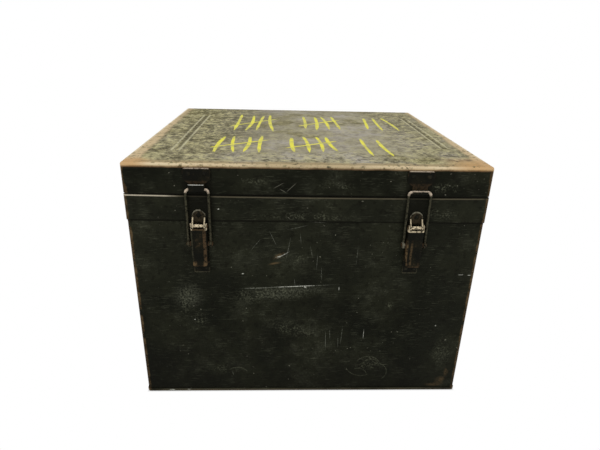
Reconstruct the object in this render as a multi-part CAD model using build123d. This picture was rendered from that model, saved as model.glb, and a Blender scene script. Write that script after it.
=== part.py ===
from build123d import *
import math
import os

# Deed box: a sheet steel box for papers, with a lid on two stop hinges, two toggle latches on
# the front and a drop handle on each side. All sizes are in millimetres, Z is up, X runs along the
# front and the front faces -Y. The origin is the middle of the underside.

# Lid and body
lid_width = 408.0
lid_depth = 381.0
box_height = 310.0
lid_skirt = 35.5
sheet = 1.2
lid_gap = 0.6
lid_corner = 3.0
lid_edge = 2.5
skirt_relief = 4.0
body_corner = 3.0
rim_height = 14.0
liner_sheet = 1.0
liner_inset = 1.5
liner_edge = 0.4
seam_lap = 14.0

# Stiffening swages pressed into the lid
swage_width = 7.0
swage_depth = 1.2
swages = [(-157.0, -132.0, 120.0), (176.0, -100.0, 116.0)]

# Strap round the top of the body, and the pan that closes the bottom
band_height = 30.0
band_sheet = 1.0
band_drop = 0.5
pan_sheet = 0.9
pan_upturn = 4.5
pan_bend = 0.8

# Rivets, and the clearances between pieces
rivet_radius = 1.6
rivet_head = 2.7
rivet_dome = 1.2
rivet_tail = 2.3
tail_dome = 0.9
rivet_edge = 6.5
band_rivet_edge = 8.0
seam_start = 30.0
seam_pitch = 36.0
pin_flare = 1.05
pin_dome = 0.8
set_gap = 0.02
run_gap = 0.05
side_gap = 0.3
end_play = 0.1
plate_corner = 2.0

# Hinges on the back
hinge_spacing = 236.0
hinge_width = 54.0
hinge_sheet = 1.5
hinge_pin = 1.7
middle_knuckle = 18.0
lid_leaf_height = 26.0
body_leaf_inset = 4.5
joggle_clear = 1.3
joggle_run = 4.5
heel_reach = 8.5
heel_play = 0.2
lid_opens = 105.0

# Toggle latches on the front
latch_spacing = 246.0
latch_pin = 1.75
pivot_drop = 4.5
pivot_out = 6.0
base_sheet = 1.4
base_width = 18.5
base_foot = 13.0
base_rivet_step = 5.0
step_run = 3.0
tongue_width = 14.6
tongue_rise = 18.0
shoulder_drop = 13.0
ear_sheet = 1.4
ear_wall = 1.35
ear_foot = 9.0
ear_rise = 11.0
ear_play = 0.8
lever_sheet = 1.2
lever_length = 48.0
lever_wall = 1.6
web_drop = 2.8
lever_lip = 8.0
lip_flare = 2.2
lip_bend = 2.0
bail_arm = 22.0
bail_set_in = 0.9
bail_pin_dome = 1.1
collar_width = 1.55
wire = 1.5
bail_bend = 4.0
eye_wall = 2.2
eye_edge = 0.8
eye_play = 0.15
hook_sheet = 1.5
hook_width = 30.0
hook_top_below = 5.0
hook_plate_height = 13.0
hook_taper = 4.5
hook_corner = 3.5
hook_rivet_step = 9.0
hook_seat_below = 28.5
hook_play = 0.25
hook_lips = {"left": 5.5, "right": 1.0}

# Drop handles on the sides
strap_drop = 9.5
handle_rod = 3.5
handle_span = 104.0
handle_drop = 40.0
handle_bend = 9.0
trunnion_bend = 5.0
trunnion_end = 2.0
strap_sheet = 1.6
strap_width = 14.0
strap_tail = 29.0
strap_corner = 5.0
strap_rivet_rise = 12.5
strap_rivet_pitch = 10.0

# Heights and faces that follow from the sizes above
seam_height = box_height - lid_skirt
rim_top = seam_height + rim_height
band_top = seam_height - band_drop
band_bottom = band_top - band_height
body_bottom = pan_sheet + pan_bend
liner_width = lid_width - 2 * (sheet + lid_gap)
liner_depth = lid_depth - 2 * (sheet + lid_gap)
liner_foot = band_bottom + liner_inset
liner_in = set_gap + liner_sheet
body_width = liner_width + 2 * (sheet + set_gap)
body_depth = liner_depth + 2 * (sheet + set_gap)
body_side = body_width / 2
body_front = -body_depth / 2
body_back = body_depth / 2
lid_front = -lid_depth / 2
lid_back = lid_depth / 2
band_out = set_gap + band_sheet
sides = {"left": -1, "right": 1}


def block(width, depth, bottom, top, corner):
    # Upright block with rounded vertical corners, centred on the Z axis.
    return extrude(Plane.XY.offset(bottom) * RectangleRounded(width, depth, corner), top - bottom)


def ring(width, depth, bottom, top, corner, thick):
    # Upright wall of even thickness that runs round the whole box.
    inside = block(width - 2 * thick, depth - 2 * thick, bottom, top, corner - thick)
    return block(width, depth, bottom, top, corner) - inside


def across(outline, width):
    # Solid of one outline drawn in the YZ plane, centred on X = 0.
    return extrude(Plane.YZ * outline, width / 2, both=True)


def rod_along_x(radius, length):
    return Rot(0, 90, 0) * Cylinder(radius, length)


def rod_along_y(radius, length):
    return Rot(90, 0, 0) * Cylinder(radius, length)


# ---- Rivets ----

def headed_pin(radius, length, head, dome, tail, tail_rise):
    # Pin along Z with a domed head from Z = 0 up, and a peened tail below Z = -length.
    outline = [
        TangentArc((0, dome), (head, 0), tangent=(1, 0)),
        Polyline((head, 0), (radius, 0), (radius, -length), (tail, -length)),
        TangentArc((0, -length - tail_rise), (tail, -length), tangent=(1, 0)),
        Line((0, -length - tail_rise), (0, dome)),
    ]
    return revolve(Plane.XZ * make_face(outline), Axis.Z)


def cross_pin(radius, reach, dome):
    # Pin along X with both ends peened over, reaching the same distance to each side.
    head = radius + pin_flare
    return Pos(reach, 0, 0) * Rot(0, 90, 0) * headed_pin(radius, 2 * reach, head, dome, head, dome)


def facing(direction, x, y, z):
    # Place on an outer face: its local Z points out of the box along the given direction.
    return Plane(origin=(x, y, z), x_dir=(0, 0, 1), z_dir=direction).location


def rivet_set(places, grip):
    rivet = headed_pin(rivet_radius, grip, rivet_head, rivet_dome, rivet_tail, tail_dome)
    return [place * rivet for place in places]


def rivet_holes(places, grip):
    hole = Pos(0, 0, -grip / 2) * Cylinder(rivet_radius + set_gap, grip + 2)
    return [place * hole for place in places]


def drilled(solid, places, grip):
    for hole in rivet_holes(places, grip):
        solid -= hole
    return solid


front = (0, -1, 0)
back = (0, 1, 0)

# Latch base rivets: two below the lever, in the lower plate, and one in the tongue over the band.
pivot_height = band_bottom - pivot_drop
base_bottom = pivot_height - lever_length - base_foot
tongue_top = pivot_height + tongue_rise
lower_rivet_height = base_bottom + rivet_edge
tongue_rivet_height = tongue_top - rivet_edge
lower_grip = base_sheet + sheet
tongue_out = band_out + base_sheet
tongue_grip = tongue_out + sheet + liner_in


def lower_base_places(x):
    face = body_front - base_sheet
    steps = (-base_rivet_step, base_rivet_step)
    return [facing(front, x + step, face, lower_rivet_height) for step in steps]


def tongue_places(x):
    return [facing(front, x, body_front - tongue_out, tongue_rivet_height)]


# Hook rivets, above the liner that stands inside the lid.
hook_top = box_height - hook_top_below
hook_shoulder = hook_top - hook_plate_height
hook_rivet_height = (hook_top + hook_shoulder) / 2
hook_grip = hook_sheet + sheet


def hook_places(x):
    steps = (-hook_rivet_step, hook_rivet_step)
    return [facing(front, x + step, lid_front - hook_sheet, hook_rivet_height) for step in steps]


# Hinge rivets, three in each leaf.
body_leaf_foot = band_bottom + body_leaf_inset
lid_leaf_rivet_height = seam_height + lid_leaf_height - rivet_edge
body_leaf_rivet_height = body_leaf_foot + rivet_edge
lid_leaf_grip = hinge_sheet + sheet
body_leaf_grip = hinge_sheet + band_out + sheet + liner_in


def leaf_steps():
    reach = hinge_width / 2 - rivet_edge
    return (-reach, 0, reach)


def lid_leaf_places(x):
    face = lid_back + hinge_sheet
    return [facing(back, x + step, face, lid_leaf_rivet_height) for step in leaf_steps()]


def body_leaf_places(x):
    face = body_back + band_out + hinge_sheet
    return [facing(back, x + step, face, body_leaf_rivet_height) for step in leaf_steps()]


# Handle strap rivets, two above the eye of each strap.
handle_height = band_bottom - strap_drop - strap_tail
strap_grip = 2 * strap_sheet + sheet
strap_centre = handle_span / 2 + trunnion_bend + side_gap + strap_width / 2


def strap_places(side):
    face = sides[side] * (body_side + 2 * strap_sheet)
    return [
        facing((sides[side], 0, 0), face, turn * strap_centre, handle_height + rise)
        for turn in (-1, 1) for rise in (strap_rivet_rise, strap_rivet_rise + strap_rivet_pitch)
    ]


# Rivets down the lapped seam at the middle of the back.
seam_grip = 2 * sheet
seam_run = band_bottom - band_rivet_edge - seam_start
seam_count = math.floor(seam_run / seam_pitch) + 1
seam_places = [facing(back, 0, body_back, seam_start + seam_pitch * step) for step in range(seam_count)]
lap_out = band_out + band_sheet
lap_grip = lap_out + sheet + liner_in
lap_places = [
    facing(back, 0, body_back + lap_out, height)
    for height in (band_bottom + band_rivet_edge, band_top - band_rivet_edge)
]


# ---- Body ----

def mouth_drilled(solid):
    # Holes of the rivets that pass through the band, the wall and the liner together.
    for x in (-latch_spacing / 2, latch_spacing / 2):
        solid = drilled(solid, tongue_places(x), tongue_grip)
    for x in (-hinge_spacing / 2, hinge_spacing / 2):
        solid = drilled(solid, body_leaf_places(x), body_leaf_grip)
    return drilled(solid, lap_places, lap_grip)


def body_shell():
    # Four walls bent from one sheet and lapped at the back, below the liner.
    shell = ring(body_width, body_depth, body_bottom, band_top, body_corner, sheet)
    lap_height = liner_foot - side_gap - body_bottom
    shell += Pos(0, body_back - 1.5 * sheet, body_bottom + lap_height / 2) * Box(
        seam_lap, sheet, lap_height)
    for x in (-latch_spacing / 2, latch_spacing / 2):
        shell = drilled(shell, lower_base_places(x), lower_grip)
    for side in sides:
        shell = drilled(shell, strap_places(side), strap_grip)
    return mouth_drilled(drilled(shell, seam_places, seam_grip))


def rim_liner():
    # Liner inside the mouth of the body, standing up into the lid to keep it in place.
    corner = body_corner - sheet - set_gap
    liner = ring(liner_width, liner_depth, liner_foot, rim_top, corner, liner_sheet)
    liner = fillet(liner.faces().sort_by(Axis.Z)[-1].edges(), liner_edge)
    return mouth_drilled(liner)


def top_band():
    # Stiffening strap round the body, its ends lapped at the back.
    wide = body_width + 2 * band_out
    deep = body_depth + 2 * band_out
    band = ring(wide, deep, band_bottom, band_top, body_corner + band_out, band_sheet)
    lap_middle = body_back + lap_out - band_sheet / 2
    band += Pos(0, lap_middle, (band_bottom + band_top) / 2) * Box(seam_lap, band_sheet, band_height)
    return mouth_drilled(band)


def bottom_pan():
    # Flat floor with its edge turned up outside the walls.
    wide = body_width + 2 * set_gap
    deep = body_depth + 2 * set_gap
    corner = body_corner + set_gap
    outer = block(wide + 2 * pan_sheet, deep + 2 * pan_sheet, 0, pan_upturn, corner + pan_sheet)
    outer = fillet(outer.faces().sort_by(Axis.Z)[0].edges(), pan_bend + pan_sheet)
    inner = block(wide, deep, pan_sheet, pan_upturn, corner)
    inner = fillet(inner.faces().sort_by(Axis.Z)[0].edges(), pan_bend)
    return outer - inner


# ---- Lid ----

def corner_relief():
    # Opening left at the foot of a folded corner, where two rounded skirt ends meet.
    reach = skirt_relief + side_gap
    gap = Pos(0, (skirt_relief - 1) / 2) * Rectangle(2 * reach, skirt_relief + 1)
    for turn in (-1, 1):
        gap -= Pos(turn * reach, skirt_relief) * Circle(skirt_relief)
    return extrude(Plane.XZ * gap, 2 * lid_corner, both=True)


def swage_tool(start, end, radius, centre_height):
    # Round-ended bar that presses a groove into the lid.
    outline = [
        Line((0, start - radius), (0, end + radius)),
        TangentArc((0, end + radius), (radius, end), tangent=(1, 0)),
        Line((radius, end), (radius, start)),
        TangentArc((0, start - radius), (radius, start), tangent=(1, 0)),
    ]
    return Pos(0, 0, centre_height) * revolve(make_face(outline), Axis.Y)


def lid_shell():
    # Pressed lid with a rounded top edge, two stiffening swages and relieved corners.
    outer = block(lid_width, lid_depth, seam_height, box_height, lid_corner)
    outer = fillet(outer.faces().sort_by(Axis.Z)[-1].edges(), lid_edge)
    inner = block(lid_width - 2 * sheet, lid_depth - 2 * sheet, seam_height - 1, box_height - sheet,
                  lid_corner - sheet)
    inner = fillet(inner.faces().sort_by(Axis.Z)[-1].edges(), lid_edge - sheet)
    lid = outer - inner
    radius = (swage_width ** 2 / 4 + swage_depth ** 2) / (2 * swage_depth)
    centre_height = box_height - swage_depth + radius
    below = Pos(0, 0, (seam_height + box_height - sheet) / 2) * Box(lid_width, lid_depth, lid_skirt)
    for x, start, end in swages:
        bead = swage_tool(start, end, radius + sheet, centre_height) & below
        groove = swage_tool(start, end, radius, centre_height)
        lid = lid + Pos(x, 0, 0) * bead - Pos(x, 0, 0) * groove
    for x_turn in (-1, 1):
        for y_turn in (-1, 1):
            corner = Pos(x_turn * (lid_width / 2 - lid_corner), y_turn * (lid_depth / 2 - lid_corner),
                         seam_height)
            lid -= corner * Rot(0, 0, -45 * x_turn * y_turn) * corner_relief()
    for x in (-latch_spacing / 2, latch_spacing / 2):
        lid = drilled(lid, hook_places(x), hook_grip)
    for x in (-hinge_spacing / 2, hinge_spacing / 2):
        lid = drilled(lid, lid_leaf_places(x), lid_leaf_grip)
    return lid


# ---- Hinges ----

knuckle = hinge_pin + run_gap + hinge_sheet
hinge_y = max(lid_back, body_back + band_out) + side_gap + knuckle
hinge_z = seam_height
joggle_top = hinge_z - knuckle - joggle_clear
joggle_foot = joggle_top - joggle_run


def hinge_bore():
    return Pos(0, hinge_y, hinge_z) * rod_along_x(hinge_pin + run_gap, hinge_width + 2)


def body_leaf(x):
    # Leaf riveted over the band, stepped out to reach the two outer knuckles.
    inner = body_back + band_out
    outer = hinge_y - knuckle
    foot = body_leaf_foot
    plate = Polyline(
        (inner, foot), (inner + hinge_sheet, foot), (inner + hinge_sheet, joggle_foot),
        (outer + hinge_sheet, joggle_top), (outer + hinge_sheet, hinge_z), (outer, hinge_z),
        (outer, joggle_top), (inner, joggle_foot), close=True,
    )
    leaf = across(make_face(plate) + Pos(hinge_y, hinge_z) * Circle(knuckle), hinge_width)
    opening = 2 * (hinge_z + knuckle - joggle_top)
    notch = Pos(0, hinge_y, joggle_top + opening / 2) * Box(
        middle_knuckle + 2 * side_gap, opening, opening)
    leaf = leaf - notch - hinge_bore()
    leaf = Pos(x, 0, 0) * leaf
    return drilled(leaf, body_leaf_places(x), body_leaf_grip)


def lid_leaf(x):
    # Leaf riveted on the lid, with the middle knuckle and the heel that stops the lid.
    plate = Pos(lid_back + hinge_sheet / 2, hinge_z + lid_leaf_height / 2) * Rectangle(
        hinge_sheet, lid_leaf_height)
    leaf = across(plate, hinge_width)
    cut_height = knuckle + side_gap
    for turn in (-1, 1):
        centre = turn * (hinge_width + middle_knuckle) / 4
        width = (hinge_width - middle_knuckle) / 2 + 2 * side_gap
        leaf -= Pos(centre, hinge_y, hinge_z) * Box(width, 4 * knuckle, 2 * cut_height)
    leaf += Pos(0, hinge_y, hinge_z) * rod_along_x(knuckle, middle_knuckle)
    # The heel lies against the stepped-out body leaf when the lid is fully open.
    bearing = -knuckle + hinge_sheet + heel_play
    heel = Pos(0, bearing + hinge_sheet / 2, -heel_reach / 2) * Box(middle_knuckle, hinge_sheet, heel_reach)
    leaf += Pos(0, hinge_y, hinge_z) * Rot(lid_opens, 0, 0) * heel
    leaf = Pos(x, 0, 0) * (leaf - hinge_bore())
    return drilled(leaf, lid_leaf_places(x), lid_leaf_grip)


def hinge_pin_rod(x):
    # Plain pin with lightly peened ends.
    return Pos(x, hinge_y, hinge_z) * cross_pin(hinge_pin, hinge_width / 2 + end_play, pin_dome)


# ---- Latches ----
# In these outlines the first number is the distance out from the body's front wall and the second
# is the height, so one outline shows a latch from its side.

lever_width = tongue_width + 2 * (ear_play + lever_sheet)
lever_round = latch_pin + lever_wall
bail_out = pivot_out - bail_set_in
bail_height = pivot_height - bail_arm
bail_width = lever_width + 2 * (collar_width + eye_play + wire)
bail_eye = latch_pin + eye_wall
lid_out = body_front - lid_front
seat_out = lid_out + hook_sheet + wire + hook_play
seat_height = box_height - hook_seat_below
web_out = pivot_out + lever_round
pin_hole = latch_pin + run_gap


def from_side(outline, width):
    # Solid of a latch outline seen from the side, centred on X = 0.
    side_view = Plane(origin=(0, body_front, 0), x_dir=(0, -1, 0), z_dir=(-1, 0, 0))
    return extrude(side_view * outline, width / 2, both=True)


def from_front(outline, reach):
    # Solid of a latch outline seen from the front, standing out from the wall.
    return extrude(Plane(origin=(0, body_front + 1, 0), x_dir=(1, 0, 0), z_dir=front) * outline, reach + 1)


def at_latch(out, height):
    return Pos(0, body_front - out, height)


def latch_base(x):
    # Riveted plate that steps over the band, with two ears for the lever's pin.
    head = band_bottom - side_gap
    foot = head - step_run
    plate = Polyline(
        (0, base_bottom), (base_sheet, base_bottom), (base_sheet, foot), (tongue_out, head),
        (tongue_out, tongue_top), (band_out, tongue_top), (band_out, head), (0, foot), close=True,
    )
    base = from_side(make_face(plate), base_width)
    shoulder = pivot_height - shoulder_drop
    lower = Pos(0, (base_bottom + shoulder) / 2) * RectangleRounded(
        base_width, shoulder - base_bottom, plate_corner)
    tongue_foot = shoulder - tongue_width
    tongue = Pos(0, (tongue_foot + tongue_top) / 2) * SlotOverall(
        tongue_top - tongue_foot, tongue_width, rotation=90)
    base &= from_front(lower + tongue, 2 * tongue_out)
    eye = (Pos(pivot_out, pivot_height) * Circle(latch_pin + ear_wall)).edges()
    low = base_sheet / 2
    high = tongue_out - base_sheet / 2
    ear = make_hull(eye + Line((low, pivot_height - ear_foot), (low, foot)).edges())
    ear += make_hull(eye + Line((high, head), (high, pivot_height + ear_rise)).edges())
    for turn in (-1, 1):
        base += Pos(turn * (tongue_width - ear_sheet) / 2, 0, 0) * from_side(ear, ear_sheet)
    base -= at_latch(pivot_out, pivot_height) * rod_along_x(latch_pin + set_gap, base_width)
    base = Pos(x, 0, 0) * base
    base = drilled(base, lower_base_places(x), lower_grip)
    return drilled(base, tongue_places(x), tongue_grip)


def latch_lever(x):
    # Folded channel, open towards the body, with a flared lip for the finger.
    low = pivot_height - lever_length
    web_top = pivot_height - web_drop
    web_in = web_out - lever_sheet
    bend = 2 * lever_sheet
    depth = 2 * web_out
    section = RectangleRounded(lever_width, depth, bend) - RectangleRounded(
        lever_width - 2 * lever_sheet, depth - 2 * lever_sheet, bend - lever_sheet)
    top = pivot_height + lever_round
    channel = Pos(0, body_front, low) * extrude(section, top - low)
    flange = make_hull(
        (Pos(pivot_out, pivot_height) * Circle(lever_round)).edges()
        + (Pos(bail_out, bail_height) * Circle(lever_round)).edges()
        + Line((web_out, pivot_height), (web_out, low + lever_lip)).edges()
    )
    lever = channel & from_side(flange, lever_width)
    window = Pos(0, body_front - web_out, web_top + web_out / 2) * Box(
        lever_width - 2 * lever_sheet, web_out, web_out)
    lever -= window
    bend_top = low + lever_lip + lip_bend
    lip = Polyline(
        (web_in, bend_top), (web_out, bend_top), (web_out, low + lever_lip),
        (web_out + lip_flare, low), (web_in + lip_flare, low), (web_in, low + lever_lip), close=True,
    )
    lip_width = lever_width - 2 * lever_sheet
    grip = from_side(make_face(lip), lip_width)
    corners = grip.edges().filter_by(Axis.Y).sort_by(Axis.Z)[:2]
    lever += fillet(corners, plate_corner)
    for out, height, hole in ((pivot_out, pivot_height, pin_hole),
                              (bail_out, bail_height, latch_pin + set_gap)):
        lever -= at_latch(out, height) * rod_along_x(hole, lever_width + 2)
    return Pos(x, 0, 0) * lever


def lever_pin(x):
    # Rivet-like pin through the ears and the lever's sides.
    pin = cross_pin(latch_pin, lever_width / 2 + end_play, pin_dome)
    return Pos(x, body_front - pivot_out, pivot_height) * pin


def bail_pin(x):
    # Pin across the lever that carries the bail's eyes, with a collar inside each eye.
    pin = cross_pin(latch_pin, bail_width / 2 + wire + eye_play, bail_pin_dome)
    inner = lever_width / 2 + set_gap
    outer = bail_width / 2 - wire - eye_play
    for turn in (-1, 1):
        pin += Pos(turn * (inner + outer) / 2, 0, 0) * rod_along_x(latch_pin + pin_flare, outer - inner)
    return Pos(x, body_front - bail_out, bail_height) * pin


def latch_bail(x):
    # Wire loop: a bar that sits in the hook, two legs and a flattened eye at each foot.
    rise = seat_height - bail_height
    lean = seat_out - bail_out
    length = math.hypot(rise, lean)
    half = bail_width / 2
    root = (pin_hole + bail_eye) / 2
    path = FilletPolyline((-half, root), (-half, length), (half, length), (half, root), radius=bail_bend)
    start = Plane(origin=(-half, root, 0), z_dir=(0, 1, 0))
    loop = sweep(start * Circle(wire), path=path)
    for turn in (-1, 1):
        eye = rod_along_x(bail_eye, 2 * wire)
        eye = fillet(eye.edges().filter_by(GeomType.CIRCLE), eye_edge)
        loop += Pos(turn * half, 0, 0) * eye
    loop -= rod_along_x(pin_hole, bail_width + 4 * wire)
    foot = Plane(origin=(x, body_front - bail_out, bail_height), x_dir=(1, 0, 0),
                 z_dir=(0, -rise, -lean))
    return foot.location * loop


def latch_hook(x, lip_rise):
    # Plate riveted to the lid's skirt that ends in an upturned hook for the bail.
    inside = wire + hook_play
    outside = inside + hook_sheet
    curl = Circle(outside) - Circle(inside) - Pos(0, outside) * Rectangle(2 * outside, 2 * outside)
    side = Pos(seat_out, seat_height) * curl
    plate_height = hook_top - seat_height
    side += Pos(lid_out + hook_sheet / 2, seat_height + plate_height / 2) * Rectangle(
        hook_sheet, plate_height)
    lip_centre = seat_out + outside - hook_sheet / 2
    side += Pos(lip_centre, seat_height + lip_rise / 2) * Rectangle(hook_sheet, lip_rise)
    side += Pos(lip_centre, seat_height + lip_rise) * Circle(hook_sheet / 2)
    hook = from_side(side, hook_width)
    tongue_foot = seat_height - outside
    tongue = Pos(0, (tongue_foot + hook_rivet_height) / 2) * Rectangle(
        bail_width - 2 * bail_bend, hook_rivet_height - tongue_foot)
    wide, narrow = hook_width / 2, bail_width / 2 - bail_bend
    plate = make_face(Polyline(
        (-wide, hook_top), (wide, hook_top), (wide, hook_shoulder), (narrow, hook_shoulder - hook_taper),
        (-narrow, hook_shoulder - hook_taper), (-wide, hook_shoulder), close=True,
    ))
    plate = fillet(plate.vertices().sort_by(Axis.Y)[-2:], hook_corner)
    hook &= from_front(tongue + plate, seat_out + outside)
    return drilled(Pos(x, 0, 0) * hook, hook_places(x), hook_grip)


# ---- Handles ----

eye_radius = handle_rod + run_gap
handle_out = eye_radius + strap_sheet + run_gap


def handle_straps(side):
    # Two straps folded round the handle's ends, tails together against the wall.
    turn = sides[side]
    loop = Pos(handle_out, 0) * Circle(eye_radius + strap_sheet)
    tails = Pos(strap_sheet + set_gap / 2, strap_tail / 2) * Rectangle(2 * strap_sheet - set_gap, strap_tail)
    eye = Pos(handle_out, 0) * Circle(eye_radius)
    strap = extrude(Plane.XZ * (loop + tails - eye), strap_width / 2, both=True)
    crown = strap.edges().filter_by(Axis.X).sort_by(Axis.Z)[-2:]
    strap = fillet(crown, strap_corner)
    if turn < 0:
        strap = mirror(strap, Plane.YZ)
    straps = [Pos(turn * body_side, step * strap_centre, handle_height) * strap for step in (-1, 1)]
    return [drilled(strap, strap_places(side), strap_grip) for strap in straps]


def handle(side):
    # Round rod bent into a drop handle, its ends turned outwards into the straps.
    half = handle_span / 2
    end = strap_centre + strap_width / 2 + trunnion_end
    points = [(0, -end, 0), (0, -half, 0), (0, -half, -handle_drop), (0, half, -handle_drop),
              (0, half, 0), (0, end, 0)]
    path = FilletPolyline(*points, radius=[trunnion_bend, handle_bend, handle_bend, trunnion_bend])
    start = Plane(origin=points[0], z_dir=(0, 1, 0))
    rod = sweep(start * Circle(handle_rod), path=path)
    return Pos(sides[side] * (body_side + handle_out), 0, handle_height) * rod


# ---- Build ----

def parts():
    nodes = {"body_shell": body_shell(), "rim_liner": rim_liner(), "top_band": top_band(),
             "bottom_pan": bottom_pan(), "lid_shell": lid_shell()}
    seams = rivet_set(seam_places, seam_grip) + rivet_set(lap_places, lap_grip)
    nodes["seam_rivets"] = seams
    groups = {name: [] for name in ("hinge_body_rivets", "hinge_lid_rivets", "latch_base_rivets",
                                    "latch_hook_rivets", "handle_rivets")}
    for side, turn in sides.items():
        hinge_x = turn * hinge_spacing / 2
        latch_x = turn * latch_spacing / 2
        nodes["hinge_body_leaf_" + side] = body_leaf(hinge_x)
        nodes["hinge_lid_leaf_" + side] = lid_leaf(hinge_x)
        nodes["hinge_pin_" + side] = hinge_pin_rod(hinge_x)
        nodes["latch_base_" + side] = latch_base(latch_x)
        nodes["latch_lever_" + side] = latch_lever(latch_x)
        nodes["lever_pin_" + side] = lever_pin(latch_x)
        nodes["bail_pin_" + side] = bail_pin(latch_x)
        nodes["latch_bail_" + side] = latch_bail(latch_x)
        nodes["latch_hook_" + side] = latch_hook(latch_x, hook_lips[side])
        nodes["handle_straps_" + side] = handle_straps(side)
        nodes["handle_" + side] = handle(side)
        groups["hinge_body_rivets"] += rivet_set(body_leaf_places(hinge_x), body_leaf_grip)
        groups["hinge_lid_rivets"] += rivet_set(lid_leaf_places(hinge_x), lid_leaf_grip)
        groups["latch_base_rivets"] += rivet_set(lower_base_places(latch_x), lower_grip)
        groups["latch_base_rivets"] += rivet_set(tongue_places(latch_x), tongue_grip)
        groups["latch_hook_rivets"] += rivet_set(hook_places(latch_x), hook_grip)
        groups["handle_rivets"] += rivet_set(strap_places(side), strap_grip)
    return nodes | groups


os.makedirs("parts", exist_ok=True)
for name, shape in parts().items():
    if isinstance(shape, list):
        shape = Compound(children=shape)
    export_step(shape, "parts/" + name + ".step")
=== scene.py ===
import bpy
import bmesh
import math
import random
from types import SimpleNamespace
from mathutils import Matrix, Vector


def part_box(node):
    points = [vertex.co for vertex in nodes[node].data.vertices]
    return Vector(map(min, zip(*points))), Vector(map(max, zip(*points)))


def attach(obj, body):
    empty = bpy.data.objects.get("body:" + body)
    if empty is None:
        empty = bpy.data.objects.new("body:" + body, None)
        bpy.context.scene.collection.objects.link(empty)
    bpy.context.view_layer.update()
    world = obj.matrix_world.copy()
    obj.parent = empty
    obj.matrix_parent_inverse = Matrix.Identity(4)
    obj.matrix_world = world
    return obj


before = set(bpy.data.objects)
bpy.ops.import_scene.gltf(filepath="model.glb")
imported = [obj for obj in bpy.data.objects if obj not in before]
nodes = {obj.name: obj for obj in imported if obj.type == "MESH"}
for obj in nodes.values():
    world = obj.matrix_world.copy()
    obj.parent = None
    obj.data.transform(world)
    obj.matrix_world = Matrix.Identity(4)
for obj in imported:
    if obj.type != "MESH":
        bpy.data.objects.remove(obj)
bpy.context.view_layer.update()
print("frame loaded:", len(nodes), "pieces")

mm = 0.001
lidLow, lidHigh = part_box("lid_shell")
bodyLow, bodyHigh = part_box("body_shell")
bandLow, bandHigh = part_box("top_band")
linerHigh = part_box("rim_liner")[1]
panLow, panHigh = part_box("bottom_pan")
baseLow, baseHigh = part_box("latch_base_right")
leverPinLow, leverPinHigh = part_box("lever_pin_right")
latchX = (baseLow.x + baseHigh.x) / 2


# small tools for building the finishes, which all add nodes to the material being made

making = {"material": None, "tree": None}


def rgb(red, green, blue):
    # written as 0 to 255, stored linear
    parts = []
    for part in (red, green, blue):
        part /= 255
        parts.append(part / 12.92 if part <= 0.04045 else ((part + 0.055) / 1.055) ** 2.4)
    return (*parts, 1.0)


def newNode(kind):
    return making["tree"].nodes.new("ShaderNode" + kind)


def link(start, end):
    making["tree"].links.new(start, end)


def plug(value, socket):
    # links a socket, or sets a plain value
    if isinstance(value, bpy.types.NodeSocket):
        link(value, socket)
    else:
        socket.default_value = value


def calc(kind, first, second=0.0, third=0.0):
    node = newNode("Math")
    node.operation = kind
    for value, socket in zip((first, second, third), node.inputs):
        plug(value, socket)
    return node.outputs[0]


def minus(first, second):
    return calc("SUBTRACT", first, second)


def size(value):
    return calc("ABSOLUTE", value)


def less(value, limit):
    return calc("LESS_THAN", value, limit)


def more(value, limit):
    return calc("GREATER_THAN", value, limit)


def timesPlus(value, factor, extra):
    return calc("MULTIPLY_ADD", value, factor, extra)


def either(*masks):
    total = masks[0]
    for mask in masks[1:]:
        total = calc("MAXIMUM", total, mask)
    return total


def both(*masks):
    total = masks[0]
    for mask in masks[1:]:
        total = calc("MULTIPLY", total, mask)
    return total


def ease(value, start, end):
    # 0 at start and 1 at end, smooth between
    node = newNode("MapRange")
    node.interpolation_type = "SMOOTHSTEP"
    plug(value, node.inputs["Value"])
    plug(start, node.inputs["From Min"])
    plug(end, node.inputs["From Max"])
    return node.outputs["Result"]


def fade(value, span, base=0.0):
    # ease between two places in mm, counted from the base
    return ease(value, base + span[0] * mm, base + span[1] * mm)


def near(value, middle, reach, soft, base=0.0):
    # 1 within reach of the middle, all in mm, the middle counted from the base
    away = size(minus(value, base + middle * mm))
    return ease(away, reach * mm + soft * mm, reach * mm)


def blendValue(mask, below, above):
    node = newNode("Mix")
    plug(mask, node.inputs[0])
    plug(below, node.inputs[2])
    plug(above, node.inputs[3])
    return node.outputs[0]


def layer(below, colour, mask, share=1.0):
    # lays a colour over another; colours are sockets, or written as 0 to 255
    if share != 1.0:
        mask = both(mask, share)
    node = newNode("Mix")
    node.data_type = "RGBA"
    plug(mask, node.inputs[0])
    for value, socket in ((below, node.inputs[6]), (colour, node.inputs[7])):
        plug(rgb(*value) if isinstance(value, tuple) else value, socket)
    return node.outputs[2]


def split(vector):
    node = newNode("SeparateXYZ")
    plug(vector, node.inputs[0])
    return node.outputs


def join(x, y, z=0.0):
    node = newNode("CombineXYZ")
    for value, socket in zip((x, y, z), node.inputs):
        plug(value, socket)
    return node.outputs[0]


def shift(vector, turn=0.0, scale=(1, 1, 1), move=(0, 0, 0), kind="POINT"):
    node = newNode("Mapping")
    node.vector_type = kind
    plug(vector, node.inputs["Vector"])
    plug(move, node.inputs["Location"])
    plug((0, 0, math.radians(turn)), node.inputs["Rotation"])
    plug(scale, node.inputs["Scale"])
    return node.outputs[0]


def cloud(vector, scale, detail, rough, seed):
    node = newNode("TexNoise")
    plug(shift(vector, move=(seed * 1.7, seed * 2.9, seed * 0.6)), node.inputs["Vector"])
    plug(scale, node.inputs["Scale"])
    plug(detail, node.inputs["Detail"])
    plug(rough, node.inputs["Roughness"])
    return node.outputs["Fac"]


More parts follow.
